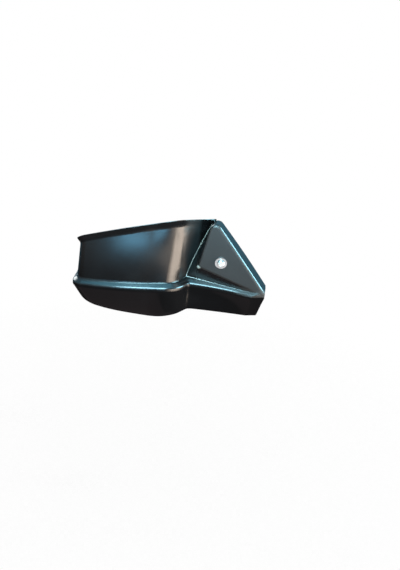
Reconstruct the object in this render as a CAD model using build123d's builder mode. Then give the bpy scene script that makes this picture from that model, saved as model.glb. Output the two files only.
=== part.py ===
"""Right-hand hand guard for a motorcycle: moulded shell, folded bracket and handlebar clamp."""
import os
from math import atan2, cos, radians, sin, tan

from build123d import *

os.makedirs("parts", exist_ok=True)

# The origin is the centre of the clamp bore.  X runs along the bar towards the middle of the
# motorcycle, Y runs back towards the rider and Z is up.  All lengths are in millimetres.

# Handlebar, shell screw and shell wall
bar_radius = 11.1
reach = 62.0
screw_height = 30.0
wall = 3.0

# Shell: heights are measured from the front edge of its ledge, the belt line
belt_below_screw = 43.8
shell_length = 265.0
inner_x = 67.5
rim_depth = 28.0
rim_slope = 0.08
band_height = 5.5
ledge_rise = 4.5
ledge_width = 6.0
belt_round = 3.5
root_round = 1.5
panel_round = 2.5
wall_top = 105.0
lip_height = 5.7
lip_flare = 4.5
lip_round = 5.0
seat_depth = 9.0
seat_radius = 10.0
rib_thickness = 2.5
side_step = 0.5

# Bracket strip and clamp block
strip_width = 22.0
strip_thickness = 3.0
bend_radius = 4.0
strip_margin = 12.0
clamp_wall = 7.9
clamp_split = 2.0
bolt_pitch = 38.0
bolt_margin = 8.0
clamp_round = 5.0

# M6 fasteners
thread_radius = 2.95
clearance_radius = 3.3
washer_thickness = 1.6
shell_washer_radius = 8.0
clamp_washer_radius = 6.0
button_radius = 5.25
button_height = 3.3
shell_screw_length = 20.0
cap_radius = 5.0
cap_height = 6.0
clamp_screw_length = 50.0
nut_flats = 10.0
nut_height = 6.0
nut_bore = 3.0
ring_radius = 4.1
ring_height = 1.6

# Positions that follow from the dimensions above
face_y = -reach
rim_y = face_y + rim_depth
closing_y = rim_y + rim_slope * shell_length + 4 * wall
belt_z = screw_height - belt_below_screw
seat_y = face_y + seat_depth
block_face = bar_radius + clamp_wall
plate_y = -block_face - strip_thickness
leg_z = screw_height + strip_margin + 2 - strip_thickness
bolt_z = bolt_pitch / 2


def inset_corners(corners, distance):
    """Corners of the same outline drawn further in; the outline runs anticlockwise."""
    moved = []
    for i, corner in enumerate(corners):
        before = Vector(*corners[i - 1])
        here = Vector(*corner)
        after = Vector(*corners[(i + 1) % len(corners)])
        normal_in = (here - before).normalized().rotate(Axis.Z, 90)
        normal_out = (after - here).normalized().rotate(Axis.Z, 90)
        shift = (normal_in + normal_out) * (distance / (1 + normal_in.dot(normal_out)))
        moved.append(((here + shift).X, (here + shift).Y))
    return moved


def round_corner(sketch, corner, radius):
    fillet(sketch.vertices().sort_by_distance((corner[0], corner[1], 0))[0], radius)


def lower_outline(height, side, nose, bend, valley, tip, back, bow, radii, inset=0.0):
    """Plan of the ledge and chin at a height above the belt, as (x, depth behind the panel's face).

    It runs from the outer side round the front.  The tip and the back are given by their distance
    in from the inner end of the shell.
    """
    corners = [(side, closing_y)] + [(x, face_y + depth) for x, depth in (nose, bend, valley)]
    corners += [(inner_x - tip[0], face_y + tip[1]), (inner_x - back, closing_y)]
    a, b, c, d, e, f = inset_corners(corners, inset)
    with BuildSketch(Plane.XY.offset(belt_z + height)) as plan:
        with BuildLine():
            Line(a, b)
            SagittaArc(b, c, -bow[0])
            Line(c, d)
            SagittaArc(d, e, bow[1])
            Line(e, f)
            Line(f, a)
        make_face()
        round_corner(plan, b, radii[0] - inset)
        round_corner(plan, c, radii[1] - inset)
        round_corner(plan, d, radii[2] + inset)
        round_corner(plan, e, radii[3] - inset)
    return plan.sketch.face()


def upper_outline(height, side, nose, bend, flank, bow, radii, inset=0.0):
    """Plan of the tall wall, from the outer side round the front to the inner flank."""
    corners = [(side, closing_y), (nose[0], face_y + nose[1]), (bend[0], face_y + bend[1]),
               (flank, closing_y)]
    a, b, c, d = inset_corners(corners, inset)
    with BuildSketch(Plane.XY.offset(belt_z + height)) as plan:
        with BuildLine():
            Line(a, b)
            SagittaArc(b, c, -bow)
            Line(c, d)
            Line(d, a)
        make_face()
        round_corner(plan, b, radii[0] - inset)
        round_corner(plan, c, radii[1] - inset)
    return plan.sketch.face()


def panel_outline(depth, inset=0.0):
    """Outline of the raised panel at a depth behind its face, in front elevation."""
    share = depth / panel_depth
    corners = []
    for (x, height), (foot_x, foot_height) in zip(panel_face, panel_foot):
        corners.append((x + share * (foot_x - x), belt_z + height + share * (foot_height - height)))
    corners = inset_corners(corners, inset)
    elevation = Plane(origin=(0, face_y + depth, 0), x_dir=(1, 0, 0), z_dir=(0, -1, 0))
    low, far, apex = corners
    with BuildSketch(elevation) as front:
        with BuildLine():
            Line(low, far)
            SagittaArc(far, apex, -panel_bow[0] * max(share, 0.05))
            SagittaArc(apex, low, -panel_bow[1])
        make_face()
        for corner, radius in zip(corners, panel_radii):
            round_corner(front, corner, radius - inset)
    return front.sketch.face()


# Plan outlines of the lower shell, from the belt line down, and of the tall wall
belt = dict(side=-191.8, nose=(-197, -28.5), bend=(-53, -8.5), valley=(-40.5, 10),
            tip=(2.5, -7.5), back=-1.1, bow=(5.7, 4), radii=(13, 40, 5, 10))
belly = dict(height=-20, side=-184.4, nose=(-191, -26), bend=(-53, -6), valley=(-40, 9.5),
             tip=(5.5, 1), back=-0.7, bow=(5.7, 3), radii=(17, 38, 5, 10))
chin = dict(height=-39, side=-171.9, nose=(-180, -21.5), bend=(-54, -2.5), valley=(-39.5, 8.5),
            tip=(9.5, 9), back=-0.6, bow=(5.7, 1), radii=(20, 30, 5, 10))
base = dict(height=-57, side=-142.7, nose=(-154, -12), bend=(-56, 4), valley=(-40, 14),
            tip=(14.5, 17), back=-2.8, bow=(4.5, 1), radii=(26, 22, 5, 10))
wall_foot = dict(side=-186.8, nose=(-191.5, -23), bend=(-57.5, -2.3), flank=-26.7, bow=5,
                 radii=(10, 30))
wall_head = dict(side=-181.9, nose=(-186, -17), bend=(-58, 2.6), flank=29, bow=5, radii=(6, 44))

# Raised panel: low corner, far corner and apex as (x, height), on its face and at its foot
panel_depth = 40.0
panel_face = ((-30.1, 32.8), (71.2, -2), (-16.6, 109.2))
panel_foot = ((-58.7, -20.3), (125.8, -79.2), (-12.3, 94.6))
panel_radii = (4, 4, 8)
panel_bow = (3.8, 0.6)

# Lower edge of the chin in front elevation, as (x, height)
chin_edge = ((-210, -14), (-169, -32), (-143, -38.7), (-102, -45.9), (-71, -49.4), (-45, -42.3),
             (-30, -39.4))

# Points and slopes of the lip's inclined edge and of the facet across the lower inner corner,
# which with the inner side and the rim bound the shell
lip_point = (-98, -14, 94.5)
lip_slope = (-0.361, 0.725, 1)
lip_end = -13.5
facet_point = (20.7, -2.5, -1)
facet_slope = (0.247, -0.918, -0.31)

lip_plane = Plane(origin=(lip_point[0], face_y + lip_point[1], belt_z + lip_point[2]),
                  z_dir=lip_slope)
corner_facet = Plane(origin=(inner_x - facet_point[0], face_y + facet_point[1],
                             belt_z + facet_point[2]), z_dir=facet_slope)
inner_side = Plane(origin=(inner_x - belt["tip"][0] - side_step, face_y + belt["tip"][1], belt_z),
                   z_dir=(closing_y - face_y - belt["tip"][1], belt["back"] - belt["tip"][0], 0))
rim = Plane(origin=(inner_x, rim_y, 0), z_dir=(rim_slope, 1, 0))


def front_edges(part, plane):
    """Edges that lie in a plane, without those on the closing face at the back."""
    flat = part.edges().filter_by(lambda e: all(abs(plane.to_local_coords(e @ t).Z) < 0.01
                                                for t in (0, 0.5, 1)))
    return flat.filter_by(lambda e: (e @ 0.5).Y < closing_y - 0.1)


def lower_body(inset):
    """Ledge, belt band and chin, closed at the back."""
    with BuildPart() as body:
        loft([lower_outline(-band_height, **belt, inset=inset),
              lower_outline(0, **belt, inset=inset)], ruled=True)
        loft([lower_outline(0, **belt, inset=inset),
              lower_outline(ledge_rise - 0.8 * inset, **belt, inset=ledge_width + inset)],
             ruled=True)
        loft([lower_outline(-band_height, **belt, inset=inset),
              lower_outline(**belly, inset=inset),
              lower_outline(**chin, inset=inset),
              lower_outline(**base, inset=inset)])
        if not inset:
            fillet(front_edges(body, Plane.XY.offset(belt_z)), belt_round)
        split(bisect_by=corner_facet.offset(-inset), keep=Keep.BOTTOM)
    return body.part


def upper_body(inset):
    """Tall wall, closed at the back and above the lip."""
    with BuildPart() as body:
        loft([upper_outline(ledge_rise - 1 - 2 * inset, **wall_foot, inset=inset),
              upper_outline(wall_top, **wall_head, inset=inset)], ruled=True)
    return body.part


def lip_section(inset, rise, flare):
    """Section of the wall, swollen by the flare, at a height above the foot of the lip."""
    level = lip_plane.offset(rise - lip_height)
    return section(upper_body(inset - flare), section_by=level, mode=Mode.PRIVATE).face()


def lipped_wall(inset):
    """Tall wall that runs out into the flared lip, on a rounded foot."""
    radius = lip_round + inset
    slope = atan2(lip_flare, lip_height)
    start = -radius * tan(slope / 2)
    turns = (0, slope / 2, slope)
    curve = [lip_section(inset, start + radius * sin(t), radius * (1 - cos(t))) for t in turns]
    with BuildPart() as body:
        add(upper_body(inset))
        split(bisect_by=lip_plane.offset(start - lip_height), keep=Keep.BOTTOM)
        loft(curve)
        loft([curve[-1], lip_section(inset, lip_height, lip_flare)], ruled=True)
        if not inset:
            loft([upper_outline(ledge_rise - root_round, **wall_foot, inset=-root_round),
                  upper_outline(ledge_rise, **wall_foot, inset=-0.3 * root_round),
                  upper_outline(ledge_rise + root_round, **wall_foot)])
        split(bisect_by=Plane.YZ.offset(lip_end), keep=Keep.BOTTOM)
    return body.part


def panel_body(inset):
    """Raised triangular panel with its sloping flanks, cut off just under the ledge."""
    with BuildPart() as body:
        if inset:
            loft([panel_outline(inset, inset), panel_outline(panel_depth, inset)], ruled=True)
        else:
            turns = [radians(angle) for angle in (0, 30, 60, 90)]
            loft([panel_outline(panel_round * (1 - cos(t)), panel_round * (1 - sin(t)))
                  for t in turns])
            loft([panel_outline(panel_round), panel_outline(panel_depth)], ruled=True)
        split(bisect_by=Plane.XY.offset(belt_z - 3 - inset), keep=Keep.TOP)
        for limit in (corner_facet, inner_side, lip_plane):
            split(bisect_by=limit.offset(-inset), keep=Keep.BOTTOM)
    return body.part


def rounds(centres, start_y, end_y, radius, bore=0.0):
    """Round bars or rings that run along Y."""
    with BuildPart() as bars:
        for x, z in centres:
            with BuildSketch(Plane(origin=(x, end_y, z), x_dir=(1, 0, 0), z_dir=(0, -1, 0))):
                Circle(radius)
                if bore:
                    Circle(bore, mode=Mode.SUBTRACT)
            extrude(amount=end_y - start_y)
    return bars.part


screw_axis = (0, screw_height)
bolt_axes = ((0, -bolt_z), (0, bolt_z))

with BuildPart() as guard_shell:
    for body in (lower_body, lipped_wall, panel_body):
        add(body(0))
    for body in (lower_body, lipped_wall, panel_body):
        add(body(wall), mode=Mode.SUBTRACT)
    with BuildSketch(Plane.XZ):
        with BuildLine():
            edge = Spline(*[(x, belt_z + height) for x, height in chin_edge],
                          tangents=((1, -0.6), (1, 0)))
            Polyline(edge @ 1, (2 * reach, (edge @ 1).Y), (2 * reach, -4 * reach),
                     ((edge @ 0).X, -4 * reach), edge @ 0)
        make_face()
    extrude(amount=4 * reach, both=True, mode=Mode.SUBTRACT)
    split(bisect_by=rim, keep=Keep.BOTTOM)
    add(rounds([screw_axis], face_y + wall / 2, seat_y, seat_radius))
    rib_y = (face_y + wall / 2 + seat_y + strip_thickness) / 2
    rib_x = strip_width / 2 + 0.3 + rib_thickness / 2
    with Locations((-rib_x, rib_y, screw_height), (rib_x, rib_y, screw_height)):
        Box(rib_thickness, seat_depth + strip_thickness - wall / 2, 2 * strip_margin)
    add(rounds([screw_axis], face_y - 1, seat_y + 1, clearance_radius), mode=Mode.SUBTRACT)
guard_shell.part.label = "guard_shell"

with BuildPart() as mount_bracket:
    with BuildSketch(Plane.YZ) as strip:
        with BuildLine():
            front_low = (seat_y + strip_thickness / 2, screw_height - strip_margin)
            front_top = (seat_y + strip_thickness / 2, leg_z + strip_thickness / 2)
            rear_top = (plate_y + strip_thickness / 2, leg_z + strip_thickness / 2)
            rear_low = (plate_y + strip_thickness / 2, -bolt_z - bolt_margin)
            centre = FilletPolyline(front_low, front_top, rear_top, rear_low,
                                    radius=bend_radius + strip_thickness / 2)
        trace(centre.edges(), line_width=strip_thickness)
    extrude(amount=strip_width / 2, both=True)
    corners = mount_bracket.edges().filter_by(Axis.Y)
    ends = corners.group_by(Axis.Z)[0] + corners.filter_by(
        lambda e: abs((e @ 0.5).Z - (screw_height - strip_margin)) < 0.1)
    fillet(ends, bend_radius)
    add(rounds([screw_axis], seat_y - 1, seat_y + strip_thickness + 1, clearance_radius),
        mode=Mode.SUBTRACT)
    add(rounds(bolt_axes, plate_y - 1, plate_y + strip_thickness + 1, clearance_radius),
        mode=Mode.SUBTRACT)
mount_bracket.part.label = "mount_bracket"


def clamp_half(direction):
    """One half of the clamp block, on one side of the bar along Y."""
    near_y = clamp_split / 2
    with BuildPart() as half:
        with BuildSketch(Plane.YZ):
            with Locations((direction * (near_y + block_face) / 2, 0)):
                Rectangle(block_face - near_y, 2 * (bolt_z + bolt_margin))
            Circle(bar_radius, mode=Mode.SUBTRACT)
        extrude(amount=strip_width / 2, both=True)
        outside = half.faces().sort_by(Axis((0, 0, 0), (0, direction, 0)))[-1]
        fillet(outside.edges().filter_by(Axis.X), clamp_round)
        add(rounds(bolt_axes, -block_face - 1, block_face + 1, clearance_radius),
            mode=Mode.SUBTRACT)
    return half.part


with BuildPart() as clamp_front:
    add(clamp_half(-1))
clamp_front.part.label = "clamp_front"

with BuildPart() as clamp_rear:
    add(clamp_half(1))
clamp_rear.part.label = "clamp_rear"


def screw(head_y, direction, radius, height, ease, ease_size, socket, length, x, z):
    """Socket screw along Y: head_y is the seat under its head, direction points out of it."""
    seat = Plane(origin=(x, head_y, z), x_dir=(1, 0, 0), z_dir=(0, direction, 0))
    with BuildPart() as body:
        with BuildSketch(seat):
            Circle(radius)
        extrude(amount=height)
        crown = body.faces().sort_by(Axis.Y)[-1 if direction > 0 else 0]
        ease(crown.edges(), ease_size)
        with BuildSketch(seat):
            Circle(thread_radius)
        extrude(amount=-length)
        with BuildSketch(seat.offset(height)):
            RegularPolygon(socket / 2, 6, major_radius=False)
        extrude(amount=-0.6 * height, mode=Mode.SUBTRACT)
    return body.part


def lock_nut(y, direction, x, z):
    """Hexagon lock nut whose seat is at y, with a recess for its nylon ring at the far end."""
    seat = Plane(origin=(x, y, z), x_dir=(1, 0, 0), z_dir=(0, direction, 0))
    with BuildPart() as body:
        with BuildSketch(seat):
            RegularPolygon(nut_flats / 2, 6, major_radius=False)
        extrude(amount=nut_height - ring_height)
        with BuildSketch(seat.offset(nut_height - ring_height)):
            Circle(nut_flats / 2 - 0.2)
        extrude(amount=ring_height)
        with BuildSketch(seat):
            Circle(nut_bore)
        extrude(amount=nut_height, mode=Mode.SUBTRACT)
        with BuildSketch(seat.offset(nut_height)):
            Circle(ring_radius)
        extrude(amount=-ring_height, mode=Mode.SUBTRACT)
    return body.part


with BuildPart() as shell_washer:
    add(rounds([screw_axis], face_y - washer_thickness, face_y, shell_washer_radius,
               clearance_radius))
shell_washer.part.label = "shell_washer"

with BuildPart() as shell_screw:
    add(screw(face_y - washer_thickness, -1, button_radius, button_height, fillet, 2.8, 4.0,
              shell_screw_length, *screw_axis))
shell_screw.part.label = "shell_screw"

nut_seat = seat_y + strip_thickness
with BuildPart() as shell_nut:
    add(lock_nut(nut_seat, 1, *screw_axis))
shell_nut.part.label = "shell_nut"

with BuildPart() as shell_nut_ring:
    add(rounds([screw_axis], nut_seat + nut_height - ring_height, nut_seat + nut_height,
               ring_radius, nut_bore))
shell_nut_ring.part.label = "shell_nut_ring"

with BuildPart() as clamp_washers:
    add(rounds(bolt_axes, block_face, block_face + washer_thickness, clamp_washer_radius,
               clearance_radius))
clamp_washers.part.label = "clamp_washers"

with BuildPart() as clamp_screws:
    for axis in bolt_axes:
        add(screw(block_face + washer_thickness, 1, cap_radius, cap_height, chamfer, 0.6, 5.0,
                  clamp_screw_length, *axis))
clamp_screws.part.label = "clamp_screws"

with BuildPart() as clamp_nuts:
    for axis in bolt_axes:
        add(lock_nut(plate_y, -1, *axis))
clamp_nuts.part.label = "clamp_nuts"

with BuildPart() as clamp_nut_rings:
    add(rounds(bolt_axes, plate_y - nut_height, plate_y - nut_height + ring_height, ring_radius,
               nut_bore))
clamp_nut_rings.part.label = "clamp_nut_rings"

export_step(guard_shell.part, "parts/guard_shell.step")
export_step(mount_bracket.part, "parts/mount_bracket.step")
export_step(clamp_front.part, "parts/clamp_front.step")
export_step(clamp_rear.part, "parts/clamp_rear.step")
export_step(shell_washer.part, "parts/shell_washer.step")
export_step(shell_screw.part, "parts/shell_screw.step")
export_step(shell_nut.part, "parts/shell_nut.step")
export_step(shell_nut_ring.part, "parts/shell_nut_ring.step")
export_step(clamp_washers.part, "parts/clamp_washers.step")
export_step(clamp_screws.part, "parts/clamp_screws.step")
export_step(clamp_nuts.part, "parts/clamp_nuts.step")
export_step(clamp_nut_rings.part, "parts/clamp_nut_rings.step")
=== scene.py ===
"""Looks of the motorcycle hand guard: finishes, studio light and the photograph's camera."""
from math import cos, pi, radians, sin

import bpy
from mathutils import Matrix, Vector


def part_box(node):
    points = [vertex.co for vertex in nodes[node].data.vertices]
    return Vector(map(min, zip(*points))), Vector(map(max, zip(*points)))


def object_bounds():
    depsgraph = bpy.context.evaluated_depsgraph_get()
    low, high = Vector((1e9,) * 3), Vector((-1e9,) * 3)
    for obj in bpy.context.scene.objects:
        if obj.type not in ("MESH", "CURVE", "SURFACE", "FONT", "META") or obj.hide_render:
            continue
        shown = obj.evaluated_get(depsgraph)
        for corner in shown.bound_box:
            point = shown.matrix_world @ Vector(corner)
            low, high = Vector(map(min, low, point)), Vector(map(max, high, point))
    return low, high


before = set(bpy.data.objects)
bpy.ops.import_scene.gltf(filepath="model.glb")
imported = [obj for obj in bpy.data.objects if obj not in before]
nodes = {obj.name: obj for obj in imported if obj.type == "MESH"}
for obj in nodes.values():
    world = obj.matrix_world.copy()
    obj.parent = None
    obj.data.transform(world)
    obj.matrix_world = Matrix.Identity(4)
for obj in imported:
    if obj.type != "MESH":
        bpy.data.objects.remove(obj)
cad_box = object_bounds()
lowest = Vector(cad_box[0]).z
panel_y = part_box("shell_washer")[1][1]


def heights(first, last):
    """Span of z, from heights above the shell's lowest edge."""
    return lowest + first, lowest + last


def depths(first, last):
    """Span of y, from depths behind the panel's face."""
    return panel_y + first, panel_y + last


# Camera of the photograph: its angles, the valley of the ledge and the pixel where it shows, the lens
camera_azimuth = radians(1)
camera_elevation = radians(30)
camera_roll = radians(7)
camera_distance = 1.1
image_size = (400, 570)
valley = Vector((-0.0425, -0.0532, -0.0138))
valley_pixel = (187.0, 283.6)
focal_pixels = 797.1
sensor_width = 36.0

# Shell, matt parts: the panel's face and the inner end of the wing below it
panel_left = (-0.034, -0.032)
panel_front = depths(-0.0006, -0.0002)
panel_back = depths(0.0003, 0.0009)
panel_foot = heights(0.052, 0.053)
wing_start = (0.018, 0.036)
wing_back = depths(0.003, 0.006)
wing_foot = heights(0.046, 0.048)
ledge_top = heights(0.056, 0.062)

# Shell, painted highlights: pale lines painted along the crease and root of the panel, and a pale spot
# painted at the lower left corner of its face
edge_reach = 0.003
edge_turn = (0.75, 0.92)
edge_left = (-0.05, -0.045)
edge_front = depths(0.005, 0.007)
edge_back = depths(0.034, 0.04)
edge_foot = heights(0.047, 0.049)
lip_foot = heights(0.130, 0.136)
highlight_fade = (-0.03, 0.015)
highlight_remainder = 0.2
painted_highlight_corner = (-0.0295, panel_y + 0.001, 0.0185)
corner_span = (0.0008, 0.004)

# Shell, colours
plastic_dark = (0.0048, 0.0034, 0.0034)
plastic_light = (0.0062, 0.0046, 0.0046)
plastic_matt = (0.034, 0.022, 0.019)
# Painted highlights: pale colours painted on the panel's root and up its crease, standing in for
# reflections on the fillets
painted_root_highlight = (0.95, 0.9, 0.85)
painted_crease_highlight = (0.5, 0.42, 0.36)

# Shell, roughness: of the smooth plastic, and what the grained, matt and polished parts add to it
smooth_roughness = (0.23, 0.26)
bend_start = (-0.057, -0.046)
bend_end = (-0.035, -0.03)
bend_foot = heights(0.05, 0.06)
bend_grain = 0.33
panel_grain = 0.14
wing_grain = 0.35
chin_top = heights(0.044, 0.047)
chin_polish = -0.1

# Shell, shading normals: rounding of edges by their distance from the panel's right edge, a crown on
# the wall, an eased bend, and draft on the chin, all up to the crease beside the panel
across_x = 0.785
across_z = 0.62
right_edge = (0.032, 0.038)
edge_rounding = (0.0015, 0.006)
outer_wall = (-0.095, -0.068)
crown_height = lowest + 0.095
crown_rate = 2.6
ease_span = (-0.063, -0.046)
ease_foot = heights(0.054, 0.075)
ease_top = heights(0.122, 0.142)
ease_rise = 0.0025
draft_top = lowest + 0.045
draft_slope = 0.07
crease_lean = 0.22
crease_span = (-0.0405, -0.0385)
crease_foot = heights(0.045, 0.047)

# Fine texture of all finishes: the middle range of the noise, and the depth and samples of the skin
cloud_span = (0.3, 0.7)
skin_depth = 0.0001
bevel_samples = 16

# Studio: a pale floor below the hanging guard, a dim surround, and soft lamps
floor_size = 30.0
floor_drop = 0.5
shadow_reach = 1.0
shadow_span = (0.7, 1.0)
shadow_samples = 16
bright_metal = ("shell_washer", "shell_screw", "shell_nut", "clamp_washers", "clamp_nuts")
sky_color = (0.33, 0.68, 0.87)
front_color = (0.26, 0.24, 0.23)
back_color = (0.1, 0.31, 0.44)
ground_color = (0.05, 0.045, 0.045)
front_to_back = (-0.3, 0.3)
ground_to_middle = (-0.6, -0.3)
middle_to_sky = (-0.3, 0.4)
surround_strength = 0.7
lamp_centre = Vector((-0.05, panel_y, 0.02))

# Each lamp: azimuth, elevation (degrees), width, height (metres), glow, colour, distance (metres).
# Azimuth 0 is in front and 90 on the inner side; the glow is about the brightness seen in a mirror.
lamps = {
    "overhead": (5, 73, 0.42, 0.42, 1.7, (0.2, 0.72, 1), 0.5),
    "front": (3, 34, 0.12, 0.24, 21, (0.46, 0.86, 1), 0.32),
    "inner_side": (85, 13, 1.1, 0.8, 23, (0.4, 0.84, 1), 1.6),
    "inner_top": (100, 50, 0.5, 0.5, 3, (1, 0.95, 0.85), 1.6),
    "bend_wide": (58, -20, 1.8, 0.62, 2.6, (1, 0.82, 0.66), 1.6),
    "bend_core": (57, -21, 1.0, 0.5, 5, (1, 0.85, 0.72), 1.6),
    "wall_patch": (9, -13, 0.38, 0.25, 6.6, (0.22, 0.66, 1), 1.6),
    "outer_back": (-132, 20, 1.3, 1.2, 7, (0.95, 1, 1), 1.6),
    "under": (-60, -82, 1.3, 1.3, 0.06, (1, 0.8, 0.85), 1.6),
}


def make_camera():
    back = Vector((sin(camera_azimuth) * cos(camera_elevation),
                   -cos(camera_azimuth) * cos(camera_elevation), sin(camera_elevation)))
    level = Vector((cos(camera_azimuth), sin(camera_azimuth), 0))
    upright = back.cross(level)
    right = level * cos(camera_roll) + upright * sin(camera_roll)
    up = upright * cos(camera_roll) - level * sin(camera_roll)
    scale = camera_distance / focal_pixels
    place = (valley + back * camera_distance
             - right * (valley_pixel[0] - image_size[0] / 2) * scale
             + up * (valley_pixel[1] - image_size[1] / 2) * scale)
    data = bpy.data.cameras.new("camera")
    data.sensor_width = sensor_width
    data.lens = focal_pixels / image_size[1] * sensor_width
    camera = bpy.data.objects.new("camera", data)
    turn = Matrix((right, up, back)).transposed()
    camera.matrix_world = Matrix.Translation(place) @ turn.to_4x4()
    bpy.context.scene.collection.objects.link(camera)
    bpy.context.scene.camera = camera


class Nodes:
    """Short way to add and join the nodes of one tree."""

    def __init__(self, tree):
        self.tree = tree
        tree.nodes.clear()

    def add(self, kind, **settings):
        node = self.tree.nodes.new(kind)
        for name, value in settings.items():
            setattr(node, name, value)
        return node

    def link(self, source, target):
        self.tree.links.new(source, target)

    def split(self, vector):
        node = self.add("ShaderNodeSeparateXYZ")
        self.link(vector, node.inputs[0])
        return node.outputs

    def math(self, operation, first, *others):
        """Join two or more sockets or numbers by one operation, from left to right."""
        for other in others:
            node = self.add("ShaderNodeMath", operation=operation)
            for socket, value in zip(node.inputs, (first, other)):
                if isinstance(value, (int, float)):
                    socket.default_value = value
                else:
                    self.link(value, socket)
            first = node.outputs[0]
        return first

    def compare(self, operation, first):
        """Vector node that gives one number, with its first input joined."""
        node = self.add("ShaderNodeVectorMath", operation=operation)
        self.link(first, node.inputs[0])
        return node.inputs[1], node.outputs["Value"]

    def ramp(self, source, span, first=0.0, last=1.0):
        node = self.add("ShaderNodeMapRange", interpolation_type="SMOOTHSTEP")
        self.link(source, node.inputs["Value"])
        for name, value in zip(("From Min", "From Max", "To Min", "To Max"), (*span, first, last)):
            node.inputs[name].default_value = value
        return node.outputs["Result"]

    def noise(self, place, scale, detail):
        node = self.add("ShaderNodeTexNoise")
        self.link(place, node.inputs["Vector"])
        node.inputs["Scale"].default_value = scale
        node.inputs["Detail"].default_value = detail
        return node.outputs["Fac"]

    def blend(self, factor, first, last, kind="RGBA"):
        """Mix of two colours or, with kind VECTOR, of two vectors; a tuple is a plain colour."""
        node = self.add("ShaderNodeMix", data_type=kind)
        self.link(factor, node.inputs["Factor"])
        for name, value in (("A", first), ("B", last)):
            socket = next(s for s in node.inputs if s.name == name and s.type == kind)
            if isinstance(value, tuple):
                socket.default_value = (*value, 1)
            else:
                self.link(value, socket)
        return next(s for s in node.outputs if s.type == kind)

    def bevel(self):
        node = self.add("ShaderNodeBevel", samples=bevel_samples)
        return node.inputs["Radius"], node.outputs["Normal"]

    def bump(self, height, distance, strength, normal=None):
        node = self.add("ShaderNodeBump")
        node.inputs["Distance"].default_value = distance
        node.inputs["Strength"].default_value = strength
        self.link(height, node.inputs["Height"])
        if normal is not None:
            self.link(normal, node.inputs["Normal"])
        return node.outputs["Normal"]


def new_material(name):
    material = bpy.data.materials.new(name)
    material.use_nodes = True
    net = Nodes(material.node_tree)
    shader = net.add("ShaderNodeBsdfPrincipled")
    output = net.add("ShaderNodeOutputMaterial")
    net.link(shader.outputs["BSDF"], output.inputs["Surface"])
    place = net.add("ShaderNodeTexCoord").outputs["Object"]
    return material, net, shader, place


def painted_highlight_mask(net, place):
    """Mask of painted highlights: 1 where the normal turns within reach of an outside edge of the panel's
    foot, and at its corner.
    """
    x, y, z = net.split(place)
    radius, near_normal = net.bevel()
    radius.default_value = edge_reach
    own_normal, turn = net.compare("DOT_PRODUCT", near_normal)
    net.link(net.add("ShaderNodeNewGeometry").outputs["Normal"], own_normal)
    edge = net.math("MULTIPLY", net.ramp(turn, edge_turn, 1, 0), net.ramp(z, lip_foot, 1, 0),
                    net.ramp(y, edge_front), net.ramp(x, edge_left), net.ramp(z, edge_foot),
                    net.ramp(y, edge_back, 1, 0), net.ramp(x, highlight_fade, 1, highlight_remainder))
    # a pale spot painted as a highlight round the lower left corner of the panel's face
    corner, distance = net.compare("DISTANCE", place)
    corner.default_value = painted_highlight_corner
    return net.math("MAXIMUM", edge, net.ramp(distance, corner_span, 1, 0))


def shell_normal(net, place):
    """Rounded edges and, up to the crease beside the panel, a gentle swell; fine grain all over."""
    x, _, z = net.split(place)
    radius, rounded = net.bevel()
    across = net.math("ADD", net.math("MULTIPLY", x, across_x), net.math("MULTIPLY", z, across_z))
    net.link(net.ramp(across, right_edge, *edge_rounding), radius)
    rise = net.math("SUBTRACT", z, crown_height)
    crown = net.math("MULTIPLY", rise, rise, -crown_rate / 2, net.ramp(x, outer_wall, 1, 0))
    ease = net.math("MULTIPLY", net.ramp(x, ease_span, 0, ease_rise), net.ramp(z, ease_foot),
                    net.ramp(z, ease_top, 1, 0))
    below_draft = net.math("MINIMUM", net.math("SUBTRACT", z, draft_top), 0)
    swell = net.math("ADD", crown, ease, net.math("MULTIPLY", below_draft, draft_slope))
    from_crease = net.math("SUBTRACT", x, net.math("MULTIPLY", z, crease_lean))
    past_crease = net.math("MULTIPLY", net.ramp(from_crease, crease_span), net.ramp(z, crease_foot))
    swollen = net.blend(past_crease, net.bump(swell, 1.0, 1.0, rounded), rounded, "VECTOR")
    return net.bump(net.noise(place, 2600, 2), skin_depth, 0.05, swollen)


def shell_plastic():
    """Satin black moulding: smooth walls, a matt panel, and highlights painted on the edges round the
    panel's foot.
    """
    material, net, shader, place = new_material("shell_plastic")
    x, y, z = net.split(place)
    cloud = net.noise(place, 45, 4)
    panel = net.math("MULTIPLY", net.ramp(y, panel_back, 1, 0), net.ramp(y, panel_front),
                     net.ramp(x, panel_left), net.ramp(z, panel_foot))
    wing_end = net.math("MULTIPLY", net.ramp(x, wing_start), net.ramp(z, wing_foot),
                        net.ramp(z, ledge_top, 1, 0), net.ramp(y, wing_back, 1, 0))
    color = net.blend(net.math("MAXIMUM", panel, wing_end),
                      net.blend(cloud, plastic_dark, plastic_light), plastic_matt)
    # colour of the painted highlights: paler at the root, warmer up the crease
    highlight_color = net.blend(net.ramp(z, ledge_top), painted_root_highlight, painted_crease_highlight)
    net.link(net.blend(painted_highlight_mask(net, place), color, highlight_color), shader.inputs["Base Color"])
    beside_panel = net.math("MULTIPLY", net.ramp(x, bend_start), net.ramp(x, bend_end, 1, 0),
                            bend_grain, net.ramp(z, bend_foot))
    matted = net.math("MAXIMUM", net.math("MULTIPLY", panel, panel_grain),
                      net.math("MULTIPLY", wing_end, wing_grain))
    roughness = net.math("ADD", net.ramp(cloud, cloud_span, *smooth_roughness), beside_panel, matted,
                         net.ramp(z, chin_top, chin_polish, 0))
    net.link(roughness, shader.inputs["Roughness"])
    shader.inputs["Specular IOR Level"].default_value = 1.0
    net.link(shell_normal(net, place), shader.inputs["Normal"])
    return material


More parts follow.
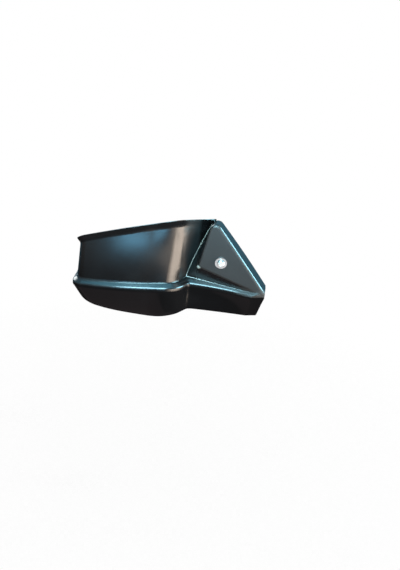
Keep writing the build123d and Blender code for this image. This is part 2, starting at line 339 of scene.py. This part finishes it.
def painted(name, color, roughness, grain_scale, grain):
    """Black coated metal with a slight orange-peel skin."""
    material, net, shader, place = new_material(name)
    cloud = net.noise(place, 60, 4)
    lighter = tuple(1.5 * c for c in color)
    net.link(net.blend(cloud, color, lighter), shader.inputs["Base Color"])
    net.link(net.ramp(cloud, cloud_span, roughness - 0.05, roughness + 0.06), shader.inputs["Roughness"])
    net.link(net.bump(net.noise(place, grain_scale, 2), skin_depth, grain), shader.inputs["Normal"])
    return material


def bare_metal(name, color, roughness, grain_scale):
    """Plated or bright steel with a fine uneven skin."""
    material, net, shader, place = new_material(name)
    shader.inputs["Metallic"].default_value = 1.0
    cloud = net.noise(place, 220, 3)
    darker = tuple(0.8 * c for c in color)
    net.link(net.blend(cloud, darker, color), shader.inputs["Base Color"])
    net.link(net.ramp(cloud, cloud_span, roughness - 0.06, roughness + 0.08), shader.inputs["Roughness"])
    net.link(net.bump(net.noise(place, grain_scale, 3), skin_depth, 0.15), shader.inputs["Normal"])
    return material


def nylon():
    material, net, shader, place = new_material("nylon")
    cloud = net.noise(place, 300, 3)
    net.link(net.blend(cloud, (0.62, 0.62, 0.57), (0.72, 0.72, 0.67)), shader.inputs["Base Color"])
    net.link(net.ramp(cloud, cloud_span, 0.4, 0.5), shader.inputs["Roughness"])
    shader.inputs["Subsurface Weight"].default_value = 0.1
    return material


def dress():
    bright = bare_metal("bright_steel", (0.78, 0.75, 0.73), 0.34, 3000)
    washer = bare_metal("washer_steel", (0.56, 0.5, 0.48), 0.34, 3000)
    zinc = bare_metal("zinc_steel", (0.56, 0.57, 0.59), 0.34, 2500)
    anodised = painted("anodised", (0.02, 0.02, 0.022), 0.38, 2200, 0.12)
    ring = nylon()
    finishes = {
        "guard_shell": shell_plastic(),
        "mount_bracket": painted("powder_coat", (0.012, 0.012, 0.012), 0.42, 900, 0.25),
        "clamp_front": anodised,
        "clamp_rear": anodised,
        "shell_washer": washer,
        "shell_screw": bright,
        "shell_nut": zinc,
        "shell_nut_ring": ring,
        "clamp_washers": zinc,
        "clamp_screws": painted("black_oxide", (0.016, 0.016, 0.018), 0.3, 3000, 0.1),
        "clamp_nuts": zinc,
        "clamp_nut_rings": ring,
    }
    for name, material in finishes.items():
        mesh = nodes[name].data
        mesh.materials.clear()
        mesh.materials.append(material)


def make_floor():
    """White where it is seen, with a soft shadow, and clear to light.

    Its mirror image is linked to the bright metal only, because it would veil the black plastic.
    """
    bpy.ops.mesh.primitive_plane_add(size=floor_size, location=(0, 0, lowest - floor_drop))
    floor = bpy.context.object
    floor.name = "floor"
    material = bpy.data.materials.new("floor")
    material.use_nodes = True
    material.cycles.emission_sampling = "NONE"
    net = Nodes(material.node_tree)
    shade = net.add("ShaderNodeAmbientOcclusion", samples=shadow_samples)
    shade.inputs["Distance"].default_value = shadow_reach
    ray = net.add("ShaderNodeLightPath").outputs
    glow = net.add("ShaderNodeEmission")
    net.link(net.ramp(shade.outputs["AO"], shadow_span), glow.inputs["Color"])
    net.link(net.math("MAXIMUM", ray["Is Camera Ray"], ray["Is Glossy Ray"], ray["Is Transmission Ray"]),
             glow.inputs["Strength"])
    clear = net.add("ShaderNodeBsdfTransparent")
    net.link(net.blend(ray["Is Camera Ray"], (1, 1, 1), (0, 0, 0)), clear.inputs["Color"])
    both = net.add("ShaderNodeAddShader")
    net.link(glow.outputs[0], both.inputs[0])
    net.link(clear.outputs[0], both.inputs[1])
    net.link(both.outputs[0], net.add("ShaderNodeOutputMaterial").inputs["Surface"])
    floor.data.materials.append(material)
    floor.visible_shadow = False
    metal = bpy.data.collections.new("metal")
    for name in bright_metal:
        metal.objects.link(nodes[name])
    floor.light_linking.receiver_collection = metal


def make_surround():
    """Dark below, pale blue above, and plain white where the camera looks past the object."""
    world = bpy.data.worlds.new("surround")
    bpy.context.scene.world = world
    world.use_nodes = True
    net = Nodes(world.node_tree)
    _, y, z = net.split(net.add("ShaderNodeTexCoord").outputs["Generated"])
    middle = net.blend(net.ramp(y, front_to_back), front_color, back_color)
    lower = net.blend(net.ramp(z, ground_to_middle), ground_color, middle)
    around = net.add("ShaderNodeBackground")
    net.link(net.blend(net.ramp(z, middle_to_sky), lower, sky_color), around.inputs["Color"])
    around.inputs["Strength"].default_value = surround_strength
    plain = net.add("ShaderNodeBackground")
    plain.inputs["Color"].default_value = (1, 1, 1, 1)
    ray = net.add("ShaderNodeLightPath").outputs
    seen = net.math("MAXIMUM", ray["Is Camera Ray"], ray["Is Transmission Ray"])
    choice = net.add("ShaderNodeMixShader")
    net.link(seen, choice.inputs[0])
    net.link(around.outputs[0], choice.inputs[1])
    net.link(plain.outputs[0], choice.inputs[2])
    net.link(choice.outputs[0], net.add("ShaderNodeOutputWorld").inputs["Surface"])


def area_light(name, azimuth, elevation, width, height, glow, color, distance):
    """Soft light that faces the middle of the guard's front."""
    a, e = radians(azimuth), radians(elevation)
    away = Vector((sin(a) * cos(e), -cos(a) * cos(e), sin(e)))
    data = bpy.data.lights.new(name, "AREA")
    data.shape = "RECTANGLE"
    data.size = width
    data.size_y = height
    data.energy = glow * pi * width * height
    data.color = color
    light = bpy.data.objects.new(name, data)
    light.location = lamp_centre + away * distance
    light.rotation_euler = away.to_track_quat("Z", "Y").to_euler()
    light.visible_camera = False
    bpy.context.scene.collection.objects.link(light)


make_camera()
dress()
make_floor()
make_surround()
for lamp_name, lamp in lamps.items():
    area_light(lamp_name, *lamp)
bpy.context.scene.view_settings.view_transform = "Standard"
